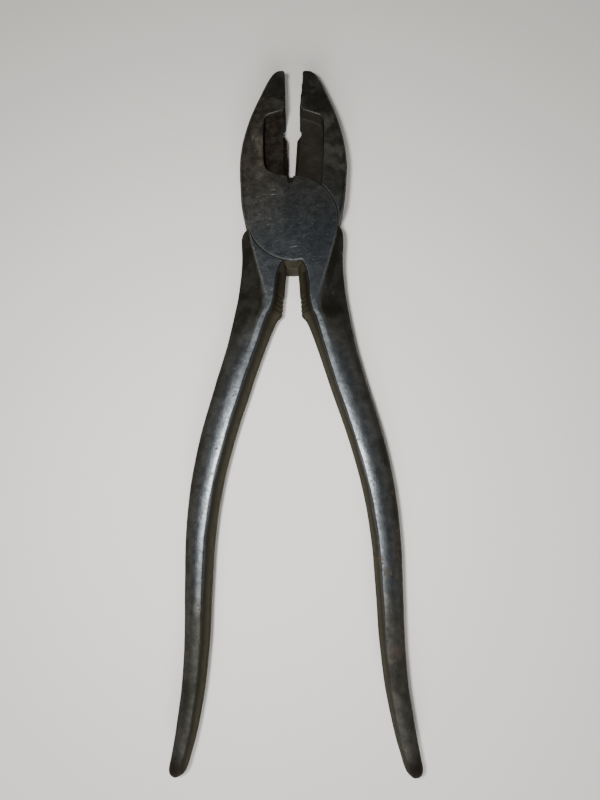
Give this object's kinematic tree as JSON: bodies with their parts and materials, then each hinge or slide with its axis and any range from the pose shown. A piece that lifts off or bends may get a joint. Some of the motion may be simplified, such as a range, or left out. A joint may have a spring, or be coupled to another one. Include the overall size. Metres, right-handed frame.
{
  "type": "lineman pliers",
  "caption": "Bare steel side-cutting pliers with a lap joint, a tapered toothed nose, relieved cutting edges, a pipe grip and slim bowed handles.",
  "frame": {"origin": "on the rivet's axis, in the plane of the back face that the pliers rest on", "axes": "+Z along the rivet's axis, out of the front face; +Y towards the jaws, on the bisector of the opening; +X to the right seen from the front"},
  "size_m": [0.0572, 0.1746, 0.0115],
  "materials": {
    "forged_steel": "dark, worn bare forged steel with brown staining",
    "rivet_steel": "dark bare steel, ground flush"
  },
  "bodies": {
    "front": {"front_half": "forged_steel", "pivot_rivet": "rivet_steel"},
    "back": {"back_half": "forged_steel"}
  },
  "joints": [
    {"name": "jaw_pivot", "type": "hinge", "parent": "front", "child": "back", "pos_m": [0, 0, 0.00575], "axis": [0, 0, -1], "range_deg": [-6.4, 5]}
  ]
}
